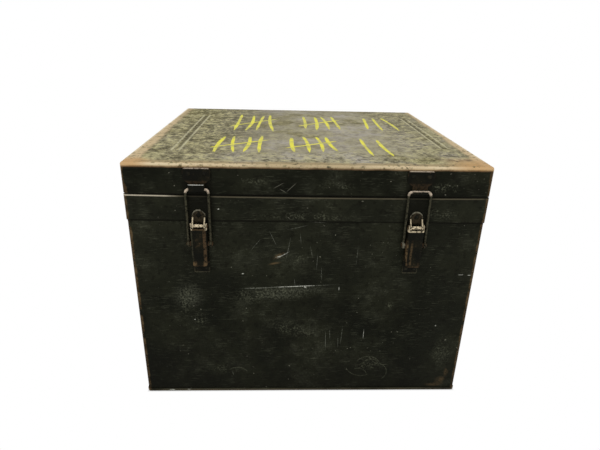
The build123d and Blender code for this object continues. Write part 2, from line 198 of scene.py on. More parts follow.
def streaks(vector, turn, length, width, amount, seed):
    # fine scratches in mm that all lie one way; a larger amount gives more of them
    scale = (1 / (length * mm), 1 / (width * mm), 1 / (width * mm))
    stretched = shift(vector, turn, scale, (seed, seed * 2.3, seed))
    node = newNode("TexNoise")
    plug(stretched, node.inputs["Vector"])
    plug(1.0, node.inputs["Scale"])
    plug(1.0, node.inputs["Detail"])
    return ease(node.outputs["Fac"], 0.78 - amount, 0.83 - amount)


def worn(distance, width, breakup, soft=0.5):
    # ragged wear that reaches in from an edge, up to about the given width in mm
    reach = timesPlus(breakup, width * 3.2 * mm, -width * 1.1 * mm)
    return fade(minus(distance, reach), (soft, 0))


def startFinish(name):
    material = bpy.data.materials.new(name)
    material.use_nodes = True
    making["material"] = material
    making["tree"] = material.node_tree


def finish(colour, roughness, gloss, height, bump=0.4, depth=0.3):
    # sets the shader of the material being made, from sockets or plain values
    shader = making["tree"].nodes["Principled BSDF"]
    plug(colour, shader.inputs["Base Color"])
    plug(roughness, shader.inputs["Roughness"])
    plug(gloss, shader.inputs["Specular IOR Level"])
    relief = newNode("Bump")
    plug(bump, relief.inputs["Strength"])
    plug(depth * mm, relief.inputs["Distance"])
    plug(height, relief.inputs["Height"])
    link(relief.outputs[0], shader.inputs["Normal"])
    return making["material"]


def paintPiece(piece, material):
    # gives a carried-over piece its finish
    piece.data.materials.clear()
    piece.data.materials.append(material)


def sheetPlaces():
    # position, unfolded face position and facing of a point on the box's sheets
    coords = newNode("TexCoord")
    x, y, z = split(coords.outputs["Object"])
    facingX, facingY, facingZ = split(coords.outputs["Normal"])
    squareOn = 0.7
    side = more(size(facingX), squareOn)
    level = more(size(facingZ), squareOn)
    # the third value only keeps the noise of one face apart from the next
    wallAcross = blendValue(side, x, y)
    wallSeed = blendValue(side, calc("SIGN", facingY), both(facingX, 3.0))
    wall = join(wallAcross, z, wallSeed)
    top = join(x, y, 7.0)
    face = newNode("Mix")
    face.data_type = "VECTOR"
    plug(level, face.inputs[0])
    plug(wall, face.inputs[4])
    plug(top, face.inputs[5])
    # the inside faces down, or toward the box's middle
    inward = timesPlus(x, facingX, both(y, facingY))
    inside = either(less(facingZ, -0.3), both(less(facingZ, 0.3), less(inward, -50 * mm)))
    return SimpleNamespace(x=x, y=y, z=z, face=face.outputs[1], up=facingZ, front=facingY, inside=inside)


def cornerDistance(place, high):
    # how far a point is from the nearest upright corner
    fromSide = minus(high.x, size(place.x))
    fromFront = minus(high.y, size(place.y))
    return either(fromSide, fromFront)


def mark(place, middle, length, width, turn=0.0, soft=0.45):
    # an oval spot or a straight scratch on the front, by its middle in x and z
    flat = shift(join(place.x, place.z), turn, (length * mm / 2, width * mm / 2, 1),
                 (middle[0] * mm, middle[1] * mm, 0), "TEXTURE")
    out = newNode("VectorMath")
    out.operation = "LENGTH"
    link(flat, out.inputs[0])
    return ease(out.outputs["Value"], 1.0, 1.0 - soft)


# black paint on the body, the liner, the band, the pan and the lid's skirt

blackPaint = {
    "paint": (16, 17, 10),
    "faded": (31, 32, 22),
    "dust": (94, 96, 78),
    "haze": (108, 110, 94),
    # near-black for real grime flecks, also used for painted shade and painted shadows
    "grimeAndShade": (12, 11, 6),
    "scratch": (132, 130, 114),
    "white": (202, 203, 190),
    "faint": (150, 152, 138),
    "rust": (82, 64, 42),
    "rustLight": (120, 98, 66),
    "rustSpot": (104, 86, 60),
    "ledge": (104, 97, 78),
    "ledgePale": (196, 186, 164),
    "steel": (178, 168, 142),
    "roughness": 0.55,
    "roughnessInside": 0.6,
    "gloss": 0.045,
    # how strongly each shows on the coat
    "dustShare": 0.36,
    "grimeShare": 0.6,
    "hazeShare": 0.07,
    "lineShare": 0.5,
    "chipShare": 0.75,
    # scale, detail, roughness and seed of each noise
    "patches": (14.0, 4.0, 0.6, 0),
    "grain": (420.0, 2.0, 0.6, 1),
    "fleck": (130.0, 3.0, 0.6, 2),
    "smear": (38.0, 5.0, 0.7, 8),
    "chip": (240.0, 2.0, 0.5, 6),
    "chipArea": (22.0, 2.0, 0.5, 7),
    # turn, length, width, amount and seed of each set of fine scratches
    "lines": [(4, 20, 0.5, 0.04, 3), (63, 14, 0.5, 0.1, 4), (118, 12, 0.5, 0.1, 5), (91, 22, 0.55, 0.11, 9)],
}


def coatCloud(place, name, seed):
    scale, detail, rough, step = blackPaint[name]
    return cloud(place.face, scale, detail, rough, seed + step)


def blackCoat(place, seed, dustAmount=1.0, haze=0.0):
    # the plain coat: paint, fading, dust and all-over fine scratches
    look = blackPaint
    patches, grain, fleck, smear = (
        coatCloud(place, name, seed) for name in ("patches", "grain", "fleck", "smear"))
    colour = layer(look["paint"], look["faded"], ease(patches, 0.36, 0.66))
    colour = layer(colour, look["dust"], haze)
    dusty = both(ease(patches, 0.46, 0.7), ease(grain, 0.5, 0.72), ease(smear, 0.4, 0.64))
    colour = layer(colour, look["dust"], dusty, look["dustShare"] * dustAmount)
    colour = layer(colour, look["grimeAndShade"], ease(fleck, 0.5, 0.7), look["grimeShare"])
    clouds = both(ease(smear, 0.47, 0.68), ease(patches, 0.38, 0.62))
    colour = layer(colour, look["haze"], clouds, look["hazeShare"] * dustAmount)
    lines = either(*[streaks(place.face, turn, length, width, amount, seed + step)
                     for turn, length, width, amount, step in look["lines"]])
    lines = both(lines, ease(smear, 0.36, 0.62))
    colour = layer(colour, look["dust"], lines, look["lineShare"])
    chips = both(ease(coatCloud(place, "chip", seed), 0.69, 0.75),
                 ease(coatCloud(place, "chipArea", seed), 0.46, 0.62))
    colour = layer(colour, look["scratch"], chips, look["chipShare"])
    height = timesPlus(grain, 0.35, both(patches, 0.5))
    height = minus(height, both(lines, 0.4))
    return colour, height, patches


def addCornerLine(colour, place, distance, seed, share):
    # rust along an upright corner, a little way in on the face
    broken = cloud(place.face, 60.0, 4.0, 0.7, seed)
    wander = timesPlus(broken, 3.0 * mm, 1.0 * mm)
    line = near(minus(distance, wander), 0, 0.8, 1.3)
    line = both(line, ease(broken, 0.4, 0.54))
    shade = layer(blackPaint["rust"], blackPaint["rustSpot"], ease(broken, 0.46, 0.62))
    return layer(colour, shade, line, share)


def addWear(colour, place, distance, width, seed, brightness, rust=0.6):
    # rust and bright steel that come through along an edge
    look = blackPaint
    wide = cloud(place.face, 38.0, 4.0, 0.65, seed)
    fine = cloud(place.face, 170.0, 3.0, 0.6, seed + 1)
    rusty = worn(distance, width * 1.5, wide, 1.5)
    colour = layer(colour, look["rust"], rusty, rust)
    pale = both(worn(distance, width * 0.7, fine), ease(wide, 0.34, 0.58))
    colour = layer(colour, look["rustLight"], pale, rust)
    bare = both(worn(distance, width * 0.45, fine), ease(wide, 0.42, 0.6))
    return layer(colour, look["steel"], bare, brightness)


# a pale line along the band, just below its top edge: worn metal, and a painted highlight where the shelf
# catches light
ledgeWearAndLight = {
    "width": 1.3,
    "dropMiddle": 1.9,
    "dropLessAtEnds": 1.2,
    "shadow": (0, -0.6),
    "shadowShare": 0.9,
    "leftX": (-140, -160),
    "leftY": (-110, -170),
    "share": 0.6,
    "leftShare": 0.9,
    "seed": 28.0,
}


def addLedge(colour, place, distance):
    # the line lies lower in mid-span, and is palest at the left end
    ledge = ledgeWearAndLight
    broken = cloud(place.face, 24.0, 4.0, 0.6, ledge["seed"])
    across = calc("DIVIDE", place.x, bandHigh.x)
    drop = timesPlus(calc("POWER", across, 2.0), -ledge["dropLessAtEnds"] * mm, ledge["dropMiddle"] * mm)
    below = minus(distance, drop)
    shadow = both(fade(below, ledge["shadow"]), near(place.y, 0, 2, 1, bandLow.y))
    colour = layer(colour, blackPaint["grimeAndShade"], shadow, ledge["shadowShare"])
    line = both(near(below, 0, ledge["width"] * 0.3, ledge["width"] * 0.5), ease(broken, 0.28, 0.46))
    shade = layer(blackPaint["ledge"], blackPaint["steel"], ease(broken, 0.6, 0.76))
    leftEnd = both(fade(place.x, ledge["leftX"]), fade(place.y, ledge["leftY"]), ease(broken, 0.2, 0.4))
    shade = layer(shade, blackPaint["ledgePale"], leftEnd)
    share = timesPlus(leftEnd, ledge["leftShare"] - ledge["share"], ledge["share"])
    return layer(colour, shade, both(line, share))


# marks knocked into the front: middle x and z, length, width and turn, all in mm and degrees
frontMarks = {
    "white": [
        ((-28, 158.2), 14, 1.5, 3), ((-2, 159.6), 10, 1.2, 3), ((187, 176), 9, 1),
        ((197, 175.5), 6, 1), ((40, 156), 1.1, 7), ((-76, 176), 4.4, 2, 10),
        ((166, 103), 2.6, 2.4), ((-101, 258), 3.4, 1.8), ((-28, 201), 20, 1.4, 32),
        ((-33, 199), 12, 1.2, 18), ((-172, 2.5), 10, 2.2), ((-150, 3), 6, 1.6),
        ((-136, 112), 2.4, 2.2), ((-1, 158), 5, 2.2, -20), ((75, 90), 0.8, 18),
        ((-9, 159.2), 60, 1.4, 3),
    ],
    "faint": [
        ((-22, 158.6), 146, 1.6, 3), ((-60, 156.4), 40, 2.4, 2), ((27, 80), 0.9, 36, 2),
        ((47, 88), 0.8, 34, -3), ((32, 90), 0.8, 20, 4),
        ((43, 78), 0.7, 24, 2), ((-14, 165), 0.8, 12, 8), ((12, 192), 0.7, 26, -2),
        ((9, 243), 26, 1.2, -3), ((-92, 29), 1, 10, 18),
        ((-8, 222), 0.7, 18, 6), ((18, 176), 0.7, 22, 3),
        ((59, 200), 0.6, 30, -2), ((-22, 210), 0.7, 34, -10), ((-40, 222), 0.7, 26, 24),
        ((5, 205), 0.7, 20, 12), ((-60, 214), 0.8, 22, -38), ((-12, 236), 30, 0.7, 14),
    ],
    "hazy": [
        ((-20, 153.5), 140, 14, 3), ((-142, 144), 50, 46), ((-34, 148), 80, 22),
    ],
    "dusty": [
        ((-34, 150), 124, 26, 2), ((-64, 146), 70, 30, 4), ((-143, 140), 30, 60, -6),
        ((-130, 112), 26, 30, 10), ((-12, 98), 96, 34, -14), ((104, 132), 16, 18, 10),
        ((-14, 196), 40, 22), ((0, 250), 150, 14, -1), ((150, 255), 60, 20),
        ((-100, 36), 60, 26, 6), ((88, 44), 64, 34, 4), ((180, 60), 34, 70),
        ((28, 286), 60, 14), ((150, 286), 60, 16), ((-60, 290), 40, 12),
    ],
    "rusty": [
        ((-33, 200), 20, 7, 28), ((185, 17), 15, 15), ((176, 9), 30, 8),
        ((183, 15), 20, 16), ((190, 30), 8, 22), ((-38, 190), 20, 4, 10),
    ],
}
frontShares = {"hazy": 0.36, "dusty": 0.75, "rusty": 0.7, "faint": 0.45, "white": 0.9, "arcs": 0.6}

# curved scratches low on the front: middle x and z, radius, and where the arc starts and ends
frontArcs = [
    ((84, 38), 17, 20, 150), ((88, 40), 11, 30, 200), ((96, 30), 14, -60, 80), ((72, 24), 12, 10, 120),
    ((-86, 22), 16, 30, 130), ((60, 8), 26, 50, 110), ((104, 62), 20, 190, 290), ((76, 46), 22, 200, 300),
]
arcWidth = 0.7


def arcMark(place, middle, radius, start, end):
    # a scratch along part of a circle on the front
    across = minus(place.x, middle[0] * mm)
    up = minus(place.z, middle[1] * mm)
    away = calc("SQRT", calc("ADD", calc("POWER", across, 2.0), calc("POWER", up, 2.0)))
    line = near(away, radius, arcWidth * 0.3, arcWidth * 0.7)
    half = math.radians(end - start) / 2
    mid = math.radians(start + end) / 2
    toward = calc("ADD", both(across, math.cos(mid)), both(up, math.sin(mid)))
    reach = calc("DIVIDE", toward, either(away, 0.1 * mm))
    return both(line, ease(reach, math.cos(half), math.cos(half * 0.75)))


def onSheet(spot, low, high):
    # whether a mark reaches the sheet between two heights
    reach = max(spot[1:3]) / 2
    return low.z / mm < spot[0][1] + reach and spot[0][1] - reach < high.z / mm


def paintFrontMarks(colour, place, low, high):
    look = blackPaint
    onFront = both(near(place.y, 0, 3, 1, low.y), less(place.front, -0.5))
    fine = cloud(place.face, 420.0, 3.0, 0.7, 41.0)
    coarse = cloud(place.face, 90.0, 4.0, 0.7, 43.0)
    for kind, shade, breakup in (
        ("hazy", "haze", ease(fine, 0.34, 0.64)),
        ("dusty", "dust", both(ease(fine, 0.47, 0.63), ease(coarse, 0.36, 0.6))),
        ("rusty", "rustSpot", ease(coarse, 0.4, 0.54)),
        ("faint", "faint", ease(fine, 0.36, 0.58)),
        ("white", "white", ease(fine, 0.34, 0.56)),
    ):
        soft = 0.7 if kind in ("white", "faint") else 0.98
        spots = [mark(place, *spot, soft=soft) for spot in frontMarks[kind] if onSheet(spot, low, high)]
        if spots:
            mask = both(either(*spots), onFront, breakup)
            colour = layer(colour, look[shade], mask, frontShares[kind])
    arcs = [arcMark(place, *arc) for arc in frontArcs if arc[0][1] - arc[1] > low.z / mm]
    if arcs:
        swirls = both(either(*arcs), onFront, ease(fine, 0.36, 0.56))
        colour = layer(colour, look["dust"], swirls, frontShares["arcs"])
    return colour


# painted shade behind and beside each latch, where the fittings shadow the sheet: reach and softness beside
# it, and its start in z
latchShade = {"reach": 11, "soft": 9, "upFrom": (216, 236), "share": 0.7}


def shadeAroundLatches(colour, place):
    beside = minus(size(place.x), latchX)
    patch = both(near(beside, 0, latchShade["reach"], latchShade["soft"]),
                 fade(place.z, latchShade["upFrom"]), less(place.front, -0.5))
    return layer(colour, blackPaint["grimeAndShade"], patch, latchShade["share"])


def paintRoughness(patches):
    return timesPlus(patches, 0.3, blackPaint["roughness"] - 0.1)


# wear is its width, seed, share of bare steel and share of rust; a line is its seed and share
bodyLook = {
    "seed": 3.0,
    "hazeUp": (120, 200),
    "hazeRight": (120, 170),
    "hazeShare": 0.035,
    "cornerWear": (2.2, 5.0, 0.15, 0.35),
    "cornerLine": (6.0, 0.7),
    "darkerLow": (80, 0),
    "darkerLowShare": 0.45,
    "bandShadow": (2.2, 0.2),
    "bandShadowShare": 0.9,
}


def makeBodyPaint():
    look = bodyLook
    startFinish("bodyBlack")
    place = sheetPlaces()
    towardTop = fade(place.z, look["hazeUp"])
    towardRight = fade(place.x, look["hazeRight"])
    haze = both(either(towardTop, towardRight), look["hazeShare"])
    colour, height, patches = blackCoat(place, look["seed"], haze=haze)
    corner = cornerDistance(place, bodyHigh)
    colour = addWear(colour, place, corner, *look["cornerWear"])
    colour = addCornerLine(colour, place, corner, *look["cornerLine"])
    colour = paintFrontMarks(colour, place, bodyLow, bandLow)
    # darker towards the bottom
    low = fade(place.z, look["darkerLow"])
    colour = layer(colour, blackPaint["grimeAndShade"], low, look["darkerLowShare"])
    underBand = minus(bandLow.z, place.z)
    shadow = both(fade(underBand, look["bandShadow"]), fade(underBand, (-0.5, 0)))
    colour = layer(colour, blackPaint["grimeAndShade"], shadow, look["bandShadowShare"])
    colour = shadeAroundLatches(colour, place)
    return finish(colour, paintRoughness(patches), blackPaint["gloss"], height)


linerLook = {
    "seed": 43.0,
    "rimWear": (2.5, 9.0, 0.7),
}


def makeLinerPaint():
    startFinish("linerBlack")
    place = sheetPlaces()
    colour, height = blackCoat(place, linerLook["seed"])[:2]
    rim = minus(linerHigh.z, place.z)
    colour = addWear(colour, place, rim, *linerLook["rimWear"])
    return finish(colour, blackPaint["roughnessInside"], blackPaint["gloss"], height)


bandLook = {
    "seed": 23.0,
    "dustAmount": 1.3,
    "haze": 0.04,
    "cornerWear": (2.6, 25.0, 0.25, 0.5),
    "cornerLine": (26.0, 0.6),
    "foot": (1.4, 0.2),
    "footShare": 0.85,
}


def makeBandPaint():
    look = bandLook
    startFinish("bandBlack")
    place = sheetPlaces()
    colour, height, patches = blackCoat(place, look["seed"], look["dustAmount"], look["haze"])
    corner = cornerDistance(place, bandHigh)
    colour = addWear(colour, place, corner, *look["cornerWear"])
    colour = addCornerLine(colour, place, corner, *look["cornerLine"])
    # painted shade along the band's foot, where it stands proud of the body
    foot = fade(minus(place.z, bandLow.z), look["foot"])
    colour = layer(colour, blackPaint["grimeAndShade"], foot, look["footShare"])
    colour = paintFrontMarks(colour, place, bandLow, bandHigh)
    colour = addLedge(colour, place, minus(bandHigh.z, place.z))
    colour = shadeAroundLatches(colour, place)
    return finish(colour, paintRoughness(patches), blackPaint["gloss"], height)


panLook = {
    "seed": 33.0,
    "cornerWear": (5, 35.0, 0.4),
    "footWear": (1.6, 37.0, 0.3, 0.5),
    "underneathAway": 4,
    "wearAndLight": (2.6, 1.0, 1.2),
    "litFootShare": 0.3,
}


def makePanPaint():
    look = panLook
    startFinish("panBlack")
    place = sheetPlaces()
    colour, height, patches = blackCoat(place, look["seed"])
    corner = cornerDistance(place, panHigh)
    colour = addWear(colour, place, corner, *look["cornerWear"])
    # the underside itself stays black, only the rim round it wears
    underneath = less(place.up, -0.5)
    fromFoot = timesPlus(underneath, look["underneathAway"] * mm, size(place.z))
    colour = addWear(colour, place, fromFoot, *look["footWear"])
    # a paler band along the foot: a painted highlight where the bend catches light from the floor
    litFoot = both(near(place.z, *look["wearAndLight"]), ease(patches, 0.34, 0.56))
    colour = layer(colour, blackPaint["ledge"], litFoot, look["litFootShare"])
    colour = paintFrontMarks(colour, place, panLow, panHigh)
    return finish(colour, blackPaint["roughnessInside"], blackPaint["gloss"], height)


# the lid's top, khaki grey: a painted sheen of the black paint with dust and wear, and a black skirt

lidTop = {
    "ground": (163, 156, 132),
    "shade": (112, 104, 58),
    "greyed": (176, 169, 158),
    "cream": (204, 196, 148),
    "dark": (60, 54, 24),
    "shadeLeft": (60, 55, 16),
    "shadeRight": (56, 57, 44),
    "edgeTan": (168, 148, 110),
    "edgePale": (214, 191, 150),
    "edgeHighlight": (232, 214, 178),
    "edgeOrange": (202, 160, 108),
    "edgeBrown": (96, 72, 48),
    "groove": (92, 86, 62),
    "grooveRim": (204, 198, 162),
    "roughness": 0.55,
    "gloss": 0.04,
    # middle x, and start and end in y, of the two pressed swages
    "swages": [(-157, -132, 120), (176, -100, 116)],
    # turn, length, width, amount and seed of each set of scratches
    "lines": [(12, 26, 0.9, 0.12, 58.0), (82, 18, 0.9, 0.13, 59.0), (140, 14, 0.8, 0.11, 60.0)],
    # scale, detail, roughness and seed of each noise
    "broad": (7.0, 3.0, 0.5, 51.0),
    "blotch": (34.0, 4.0, 0.62, 53.0),
    "stain": (17.0, 5.0, 0.65, 52.0),
    "mottle": (88.0, 4.0, 0.74, 54.0),
    "fleck": (200.0, 3.0, 0.7, 55.0),
    "wide": (30.0, 5.0, 0.72, 61.0),
}

# where each look on the lid starts and where it is full, in mm; two pairs are x and y, and
# three values are a middle, a reach and a softness
lidZones = {
    "leftEnd": (-60, -128),
    "rightEnd": (96, 150),
    "frontStrip": (-118, -172),
    "backLeft": ((-96, -150), (-60, 110)),
    "scuffLeft": ((-70, -150), (20, -90)),
    "shadeLeft": ((-15, -90), (-175, -15)),
    "shadeLeftOuter": (-194, -156),
    "shadeRight": ((160, 8, 26), (62, 30, 60)),
    "swageEnds": ((-6, 2), (6, -2)),
    "swageRim": (4.6, 0.7, 1.1),
    "swageFloor": (2.6, 1.0),
    "ragged": 3,
    "wander": (12, -6),
    "toLeft": (20, -20),
    "towardFront": (0, -90),
    "frontShift": -4,
    "tan": (14, 6),
    "brown": (7, 2),
    "endPale": (12, 6.5),
    "endPaleFront": (130, 40),
    "frontPale": (3.5, 0.5),
    "frontPaleAcross": (50, 100),
    "endRim": (5.6, 2.6),
    "frontRim": (-0.7, 1.2, 1.2),
    "frontRimAcross": (40, 80),
    "frontRimEnds": (110, 150),
    "orangeRight": ((140, 185), (-140, -178)),
    "orangeLeft": ((-168, -192), (-164, -180)),
    "foot": (-1.2, -3.0),
    "topEnds": (-4.2, -3.0),
}

# how strongly each colour covers what is below it; a pair is what a zone adds, and the least
lidShares = {
    "scuffed": (0.68, 0.32),
    "endScale": (1.15, 0.85),  # at the right end and at the left
    "endPale": (0.45, 0.55),
    "frontPale": (0.4, 0.45),
    "rimAcross": (0.36, 0.14),
    "rimEnds": 0.4,
    "rightEnd": 0.75,
    "frontStrip": 0.8,
    "shadedEnds": 0.55,
    "stain": 0.75,
    "broad": 0.3,
    "shadeLeft": 0.46,
    "shadeRight": 0.36,
    "dark": 0.95,
    "smear": 0.6,
    "lines": 0.8,
    "grooveRim": 0.8,
    "groove": 0.7,
    "tan": 0.85,
    "pale": 0.92,
    "brown": 0.6,
    "rim": 0.9,
    "orange": 0.8,
    "foot": 0.9,
}


def lidEdges(place):
    # how far in from the ends, front and back a point lies; below zero it is down the skirt
    down = minus(lidHigh.z, place.z)
    fromEnd = minus(lidHigh.x, size(place.x))
    fromFront = minus(place.y, lidLow.y)
    fromBack = minus(lidHigh.y, place.y)
    return [minus(reach, down) for reach in (fromEnd, fromFront, fromBack)]


def area(place, zone):
    return both(fade(place.x, zone[0]), fade(place.y, zone[1]))


def khakiTop(place):
    # gives the top's colour, a painted sheen with dust and wear, its grain and where it lies
    look, zone, share = lidTop, lidZones, lidShares
    face, x, y = place.face, place.x, place.y
    broad, blotch, stain, mottle, fleck = (
        cloud(face, *look[name]) for name in ("broad", "blotch", "stain", "mottle", "fleck"))
    speck = timesPlus(mottle, 0.6, both(fleck, 0.4))

    # the middle stays smooth, the ends and the front are scuffed
    leftEnd = fade(x, zone["leftEnd"])
    rightEnd = both(fade(x, zone["rightEnd"]), share["rightEnd"])
    frontStrip = both(fade(y, zone["frontStrip"]), share["frontStrip"])
    backLeft = area(place, zone["backLeft"])
    scuffLeft = area(place, zone["scuffLeft"])
    scuffed = timesPlus(either(leftEnd, rightEnd, frontStrip), *share["scuffed"])
    shaded = either(both(either(leftEnd, rightEnd), share["shadedEnds"]), backLeft)
    colour = layer(look["ground"], look["greyed"], ease(stain, 0.5, 0.62))
    colour = layer(colour, look["shade"], ease(stain, 0.47, 0.36), share["stain"])
    colour = layer(colour, look["shade"], shaded)
    colour = layer(colour, look["shade"], ease(broad, 0.46, 0.7), share["broad"])

    # broad painted shade at the back left and near the right end
    broadShade = both(area(place, zone["shadeLeft"]), fade(x, zone["shadeLeftOuter"]),
                  ease(stain, 0.16, 0.46))
    colour = layer(colour, look["shadeLeft"], broadShade, share["shadeLeft"])
    acrossZone, alongZone = zone["shadeRight"]
    broadShade = both(near(x, *acrossZone), near(y, *alongZone))
    colour = layer(colour, look["shadeRight"], broadShade, share["shadeRight"])

    # specks, smears and scratches
    darkSpeck = both(ease(speck, 0.51, 0.41), scuffed)
    colour = layer(colour, look["dark"], darkSpeck, share["dark"])
    colour = layer(colour, look["cream"], both(ease(speck, 0.51, 0.6), scuffed))
    smear = both(ease(blotch, 0.48, 0.64), either(scuffed, scuffLeft), ease(fleck, 0.36, 0.56))
    colour = layer(colour, look["cream"], smear, share["smear"])
    lines = either(*[streaks(face, *line) for line in look["lines"]])
    colour = layer(colour, look["cream"], both(lines, scuffed), share["lines"])

    # each swage has a painted highlight along its rims and painted shade in its floor
    for middle, start, end in look["swages"]:
        along = both(fade(y, zone["swageEnds"][0], start * mm), fade(y, zone["swageEnds"][1], end * mm))
        away = size(minus(x, middle * mm))
        rimHighlights = both(near(away, *zone["swageRim"]), along, ease(fleck, 0.34, 0.5))
        colour = layer(colour, look["grooveRim"], rimHighlights, share["grooveRim"])
        floor = both(fade(away, zone["swageFloor"]), along, ease(blotch, 0.3, 0.52))
        colour = layer(colour, look["groove"], floor, share["groove"])

    # paint rubbed thin along the front and the two ends, not at the back; the pale band near the edge is
    # also a painted highlight where it rounds over
    fromEnd, fromFront, fromBack = lidEdges(place)
    wide = cloud(face, *look["wide"])
    wander = timesPlus(wide, zone["wander"][0] * mm, zone["wander"][1] * mm)
    endScale = blendValue(fade(x, zone["toLeft"]), *share["endScale"])
    endReach = calc("ADD", both(fromEnd, endScale), wander)
    endReach = timesPlus(fade(y, zone["towardFront"]), zone["frontShift"] * mm, endReach)
    frontReach = calc("ADD", fromFront, wander)
    edgeReach = calc("MINIMUM", endReach, frontReach)
    across = size(x)
    broken = ease(speck, 0.36, 0.5)
    tan = both(fade(edgeReach, zone["tan"]), broken)
    colour = layer(colour, look["edgeTan"], tan, share["tan"])
    endPale = both(fade(endReach, zone["endPale"]),
                   timesPlus(fade(y, zone["endPaleFront"]), *share["endPale"]))
    frontPale = both(fade(frontReach, zone["frontPale"]),
                     timesPlus(fade(across, zone["frontPaleAcross"]), *share["frontPale"]))
    pale = both(either(endPale, frontPale), broken)
    colour = layer(colour, look["edgePale"], pale, share["pale"])
    brown = both(fade(edgeReach, zone["brown"]), ease(speck, 0.56, 0.61))
    colour = layer(colour, look["edgeBrown"], brown, share["brown"])

    # a painted highlight on the rounded rim itself, stronger toward the ends of the front
    rimShare = timesPlus(fade(across, zone["frontRimAcross"]), *share["rimAcross"])
    rimShare = timesPlus(fade(across, zone["frontRimEnds"]), share["rimEnds"], rimShare)
    frontRim = both(near(fromFront, *zone["frontRim"]), rimShare)
    rim = both(either(fade(fromEnd, zone["endRim"]), frontRim), ease(speck, 0.38, 0.5))
    colour = layer(colour, look["edgeHighlight"], rim, share["rim"])
    corners = either(area(place, zone["orangeRight"]), area(place, zone["orangeLeft"]))
    orange = both(corners, ease(speck, 0.34, 0.48))
    colour = layer(colour, look["edgeOrange"], orange, share["orange"])

    # the khaki ends ragged and brown at the bend into the skirt, and none of it is inside
    nearest = calc("MINIMUM", calc("MINIMUM", fromEnd, fromBack), fromFront)
    ragged = timesPlus(wide, zone["ragged"] * mm, nearest)
    colour = layer(colour, look["edgeBrown"], fade(ragged, zone["foot"]), share["foot"])
    onTop = both(fade(ragged, zone["topEnds"]), minus(1.0, place.inside))
    return colour, fleck, onTop


lidSkirt = {
    "seed": 13.0,
    "dustAmount": 1.2,
    "cornerWear": (2.8, 15.0, 0.25, 0.6),
    "foot": (1.6, 0.6),
    "footShare": 0.85,
    # scratches near the skirt's middle: middle x and z, length, width and turn
    "ticks": [((-29, 280), 10, 0.9, -30), ((-20, 284), 18, 0.9, 44), ((-34, 286), 16, 0.8, 30)],
    "tickShare": 0.4,
    "bump": 0.5,
}


def makeLidPaint():
    look = lidSkirt
    startFinish("lidPaint")
    place = sheetPlaces()
    black, height = blackCoat(place, look["seed"], look["dustAmount"])[:2]
    corner = cornerDistance(place, lidHigh)
    black = addWear(black, place, corner, *look["cornerWear"])
    # painted shade along the skirt's rounded lower edge, above the band
    foot = fade(minus(place.z, lidLow.z), look["foot"])
    black = layer(black, blackPaint["grimeAndShade"], foot, look["footShare"])
    black = paintFrontMarks(black, place, lidLow, lidHigh)
    ticks = either(*[mark(place, *tick) for tick in look["ticks"]])
    ticks = both(ticks, near(place.y, 0, 2, 1, lidLow.y))
    black = layer(black, blackPaint["scratch"], ticks, look["tickShare"])
    black = shadeAroundLatches(black, place)
    khaki, fleck, onTop = khakiTop(place)
    colour = layer(black, khaki, onTop)
    roughness = timesPlus(fleck, 0.25, lidTop["roughness"] - 0.1)
    relief = timesPlus(fleck, 0.6, both(height, 0.6))
    gloss = blendValue(onTop, blackPaint["gloss"], lidTop["gloss"])
    return finish(colour, roughness, gloss, relief, look["bump"])


paintPiece(nodes["body_shell"], makeBodyPaint())
paintPiece(nodes["rim_liner"], makeLinerPaint())
paintPiece(nodes["top_band"], makeBandPaint())
paintPiece(nodes["bottom_pan"], makePanPaint())
paintPiece(nodes["lid_shell"], makeLidPaint())
print("sheets painted")


# iron fittings: hooks, levers, plates, hinges, straps and handles

ironLook = {
    "paint": (15, 15, 10),
    "brown": (29, 27, 18),
    "rust": (84, 66, 46),
    "rustLight": (122, 100, 70),
    "olive": (80, 77, 60),
    "umber": (62, 53, 38),
    "grey": (138, 134, 116),
    "white": (200, 199, 190),
    "cream": (228, 211, 176),
    "pink": (206, 188, 166),
    "steel": (168, 160, 142),
    "rustShare": 0.5,
    "speckShare": 0.5,
    "roughness": 0.55,
    "gloss": 0.05,
    "bump": 0.35,
    "bumpDepth": 0.2,
}


def ironPlaces():
    # position, facing, and place across the nearer latch
    coords = newNode("TexCoord")
    x, y, z = split(coords.outputs["Object"])
    facingX, facingY, facingZ = split(coords.outputs["Normal"])
    sideways = minus(size(x), latchX)
    return SimpleNamespace(spot=coords.outputs["Object"], y=y, z=z, toRight=both(sideways, calc("SIGN", x)),
                           off=size(sideways), onLeft=less(x, 0.0), onRight=more(x, 0.0),
                           up=facingZ, front=facingY, side=facingX)


def ironCoat(place, seed, moreRust=0.0):
    look = ironLook
    broad = cloud(place.spot, 70.0, 4.0, 0.65, seed)
    fine = cloud(place.spot, 420.0, 3.0, 0.62, seed + 1)
    colour = layer(look["paint"], look["brown"], ease(broad, 0.42 - moreRust, 0.7 - moreRust))
    rust = both(ease(broad, 0.58 - moreRust, 0.72 - moreRust), ease(fine, 0.42, 0.6))
    colour = layer(colour, look["rust"], rust, look["rustShare"])
    colour = layer(colour, look["rustLight"], ease(fine, 0.68, 0.76), look["speckShare"])
    return colour, broad, fine


# lays a colour broken up by fine noise, for wear and for painted highlights
def wearAndLight(colour, mask, fine, shade, share):
    broken = both(mask, ease(fine, 0.32, 0.55))
    return layer(colour, ironLook[shade], broken, share)


def makeIron(name, seed, rubsAndLights, moreRust=0.0):
    # the given function lists masks of wear and of painted highlights, each with its shade and share
    startFinish(name)
    place = ironPlaces()
    colour, broad, fine = ironCoat(place, seed, moreRust)
    for mask, shade, share in rubsAndLights(place):
        colour = wearAndLight(colour, mask, fine, shade, share)
    roughness = timesPlus(broad, 0.35, ironLook["roughness"] - 0.15)
    height = timesPlus(fine, 0.5, broad)
    return finish(colour, roughness, ironLook["gloss"], height, ironLook["bump"], ironLook["bumpDepth"])


# in each dictionary of wear and painted highlights, a pair is where the wear starts and where it is full,
# and three values are a middle, a reach and a softness, all in mm

